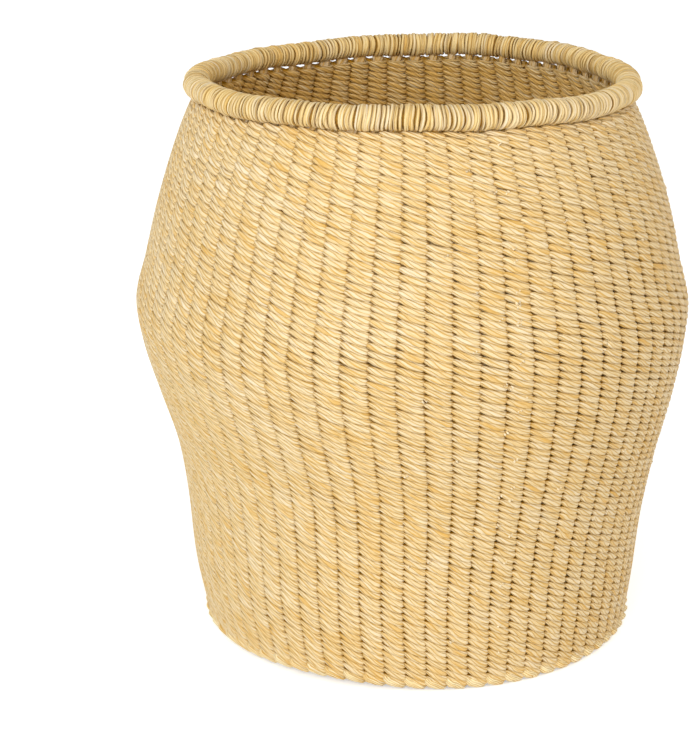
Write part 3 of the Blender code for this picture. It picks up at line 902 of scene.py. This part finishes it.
class RimOperator(bpy.types.Operator):
    """Binds the rim's bundle with one long straw wound round it. Along the rim it moves on evenly,
    one part of the round a turn, plus waves of one and of two periods a turn and random change"""

    bl_idname = "basket.bind_rim"
    bl_label = "Bind rim"

    def execute(self, context):
        rim, colours = settings().rim, settings().colours
        middle_height = (RIM_BOX[0][2] + RIM_BOX[1][2]) / 2
        rng = np.random.default_rng(90)

        def on_rim(turn, around, inset):
            """A point of the rim's tube, an oval section turned about the basket's axis."""
            wide = (rim.half_width - inset) * np.cos(around)
            high = (rim.half_depth - inset) * np.sin(around)
            radius = rim.radius + wide
            point = (radius * np.cos(turn), radius * np.sin(turn), middle_height + high)
            return np.stack(np.broadcast_arrays(*point), -1)

        turn = np.linspace(0, 2 * np.pi, 181)
        around = -2 * np.pi * np.arange(12) / 12
        rings = on_rim(turn[:, None], around[None, :], BUNDLE_INSET)
        # Painted shade: the bundle shows only between the binding's turns, and a depth of 0.8
        # darkens it with the shade colour; its tone is low too
        tone, depth = (np.full((len(turn), 1), value) for value in (0.2, 0.8))
        straws = [{"rings": rings, "along": turn * rim.radius, "tone": tone, "depth": depth}]
        core = straw_material("rim bundle", BUNDLE_BROWN)
        piece("rim_bundle", straws, core, ["rim_core"])

        samples, sides = 20, 8
        travel = np.arange(rim.turns * samples + 1) / samples
        shifts = rng.normal(0, 0.02, rim.turns + 2)
        shift = np.interp(travel, np.arange(rim.turns + 2) - 0.25, shifts)
        around = 2 * np.pi * travel
        lean = 0.3 * np.cos(around) + 0.18 * np.sin(2 * around + wander(rng, travel, 4, 1.5))
        lean = lean + wander(rng, travel, 0.5, 0.16)
        turn = 2 * np.pi * (travel + shift + lean) / rim.turns
        inset = rim.thickness - BITE + wander(rng, travel, 0.8, BITE)
        centres = on_rim(turn, around, inset)
        outward = unit(on_rim(turn, around, inset - NUDGE) - centres)
        width = rim.strip * (1 + wander(rng, travel, 0.7, 0.18))
        rings = straw(centres, outward, width, rim.thickness, sides, square=1.0)
        tone = 0.56 + wander(rng, travel, 0.7, 0.08) + patches(rng, travel, 9, 0.04)
        # Painted light and shade: the outer face of the binding straw is lighter and its inner face
        # darker
        tone = (tone + 0.08 * np.cos(around))[:, None]
        # Painted shade: each turn of the binding straw is darkened along its two edges, where it
        # meets the next
        depth = np.tile(0.8 * np.cos(ring_turns(sides)) ** 2, (len(travel), 1))
        straws = [{"rings": rings, "along": length_along(centres), "tone": tone, "depth": depth}]
        binding = straw_material("rim straw", colours.rim, twist=0.03, stem=0.0022, streak=0.8)
        piece("rim_binding_straw", straws, binding, ["rim_binding"])
        return {"FINISHED"}


def seen_places():
    """The wall places under the photograph's splices: of a grid of points over the searched part
    of the wall, the one whose picture through the camera falls nearest to each."""
    stage = settings().stage
    heights = np.linspace(0, stake_line()[0][-1], 900)
    up, place = np.meshgrid(heights, SEARCHED_PLACES, indexing="ij")
    points = settled(on_wall(up, place, settings().shape.stake_depth))
    points = points - (0.0, -stage.camera_back, stage.camera_height)
    x, y, z = points[..., 0], points[..., 1], points[..., 2]
    turn, pitch = stage.camera_turn, stage.camera_pitch
    x, y = x * np.cos(turn) + y * np.sin(turn), y * np.cos(turn) - x * np.sin(turn)
    depth = y * np.cos(pitch) - z * np.sin(pitch)
    rise = y * np.sin(pitch) + z * np.cos(pitch)
    focal = stage.lens / SENSOR * PHOTO_SIZE[1]
    x, rise = (
        x * np.cos(stage.camera_roll) + rise * np.sin(stage.camera_roll),
        rise * np.cos(stage.camera_roll) - x * np.sin(stage.camera_roll),
    )
    right = PHOTO_SIZE[0] / 2 + focal * x / depth
    down = PHOTO_SIZE[1] / 2 - focal * rise / depth
    found = []
    for seen_right, seen_down in SPLICES_SEEN:
        nearest = np.hypot(right - seen_right, down - seen_down).argmin()
        found.append((up.flat[nearest], place.flat[nearest]))
    return np.array(found)


class SplicesOperator(bpy.types.Operator):
    """Leaves a pair of cut ends standing out where one straw is laid in after another"""

    bl_idname = "basket.cut_ends"
    bl_label = "Cut ends"

    def execute(self, context):
        rng = np.random.default_rng(120)
        tall = stake_line()[0][-1]
        more_up = rng.uniform(SPLICE_MARGIN, tall - SPLICE_MARGIN, MORE_SPLICES)
        more_place = rng.uniform(*MORE_PLACES, MORE_SPLICES)
        spots = np.concatenate((seen_places(), np.stack((more_up, more_place), -1)))
        run = np.linspace(0, 1, 5)
        # Along each cut end the tone rises from dark where it leaves the weave, painted shade, to
        # pale at its tip, the fresh cut
        tone = np.array((0.3, 0.4, 0.5, 0.75, 1.0))[:, None]
        straws = []
        for up, place in spots:
            for side in (-0.5, 0.5):
                size = rng.uniform(*END_SIZES)
                ends = on_wall(
                    up + side * ENDS_APART[0] - END_RUN[0] * run,
                    place + side * ENDS_APART[1] + END_RUN[1] * run,
                    END_OUT[0] + (END_OUT[1] + rng.uniform(0, END_OUT_MORE)) * run**0.7,
                )
                outward = unit(on_wall(up, place, NUDGE) - on_wall(up, place, 0.0)) + (0, 0, 0.3)
                outward = np.tile(outward, (len(run), 1))
                rings = straw(ends, outward, size, 0.8 * size, sides=6)
                along = rng.uniform(0, 9) + END_LENGTH * run
                straws.append({"rings": rings, "along": along, "tone": tone, "depth": 0 * tone})
        material = straw_material("cut straw", settings().colours.cut)
        piece("spliced_straw_ends", straws, material)
        return {"FINISHED"}


class StageOperator(bpy.types.Operator):
    """Sets the white floor, the lamps and the camera"""

    bl_idname = "basket.set_stage"
    bl_label = "Set stage"

    def execute(self, context):
        stage = settings().stage
        scene = context.scene
        scene.view_settings.view_transform = "Standard"

        bpy.ops.mesh.primitive_plane_add(size=FLOOR_SIZE)
        floor = context.object
        floor.name = "floor"
        material, tree, shader = new_material("white floor")
        shader.inputs["Base Color"].default_value = FLOOR_WHITE
        shader.inputs["Roughness"].default_value = 0.9
        shader.inputs["Emission Color"].default_value = WHITE
        glow = math_node(tree, "MULTIPLY", seen_directly(tree), FLOOR_GLOW)
        tree.links.new(glow, shader.inputs["Emission Strength"])
        floor.data.materials.append(material)

        world = bpy.data.worlds.new("white studio")
        scene.world = world
        world.use_nodes = True
        tree = world.node_tree
        back = tree.nodes["Background"]
        strength = math_node(tree, "MULTIPLY_ADD", seen_directly(tree), 1.0 - stage.sky, stage.sky)
        back.inputs["Color"].default_value = WHITE
        tree.links.new(strength, back.inputs["Strength"])

        for name, place, size, tint in LAMPS:
            lamp = bpy.data.lights.new(f"{name} lamp", "AREA")
            lamp.shape = "DISK"
            lamp.size = size
            lamp.energy = getattr(stage, name)
            lamp.color = tint
            obj = bpy.data.objects.new(f"{name} lamp", lamp)
            scene.collection.objects.link(obj)
            obj.location = place
            right, back, up = np.array(LAMPS_AIM) - place
            tilt = np.arctan2(np.hypot(right, back), -up)
            obj.rotation_euler = (tilt, 0, np.arctan2(-right, back))

        camera = bpy.data.cameras.new("camera")
        camera.sensor_fit = "VERTICAL"
        camera.sensor_height = SENSOR
        camera.lens = stage.lens
        obj = bpy.data.objects.new("camera", camera)
        scene.collection.objects.link(obj)
        obj.location = (0.0, -stage.camera_back, stage.camera_height)
        level = Euler((np.pi / 2 - stage.camera_pitch, 0, stage.camera_turn)).to_matrix()
        obj.rotation_euler = (level @ Matrix.Rotation(stage.camera_roll, 3, "Z")).to_euler()
        scene.camera = obj
        return {"FINISHED"}


OPERATORS = (
    StakesOperator,
    BaseOperator,
    WallOperator,
    FootOperator,
    RimOperator,
    SplicesOperator,
    StageOperator,
)


class BasketPanel(bpy.types.Panel):
    bl_idname = "VIEW3D_PT_basket"
    bl_label = "Bolga basket"
    bl_space_type = "VIEW_3D"
    bl_region_type = "UI"
    bl_category = "Basket"

    def draw(self, context):
        for group in ("shape", "weave", "rim", "colours", "stage"):
            box = self.layout.box()
            box.label(text=group.capitalize())
            values = getattr(context.scene.basket, group)
            for name in values.bl_rna.properties.keys():
                if name not in ("rna_type", "name"):
                    box.prop(values, name)
        for operator in OPERATORS:
            self.layout.operator(operator.bl_idname)


CLASSES = (
    BasketShape,
    StrawWeave,
    BoundRim,
    StrawColours,
    WhiteStage,
    BasketSettings,
    *OPERATORS,
    BasketPanel,
)


def register():
    for one in CLASSES:
        bpy.utils.register_class(one)
    bpy.types.Scene.basket = PointerProperty(type=BasketSettings)


def unregister():
    del bpy.types.Scene.basket
    for one in reversed(CLASSES):
        bpy.utils.unregister_class(one)


def main():
    register()
    bpy.ops.basket.lay_stakes()
    bpy.ops.basket.twine_base()
    bpy.ops.basket.twine_wall()
    bpy.ops.basket.twine_foot()
    bpy.ops.basket.bind_rim()
    bpy.ops.basket.cut_ends()
    bpy.ops.basket.set_stage()


if __name__ == "__main__":
    main()
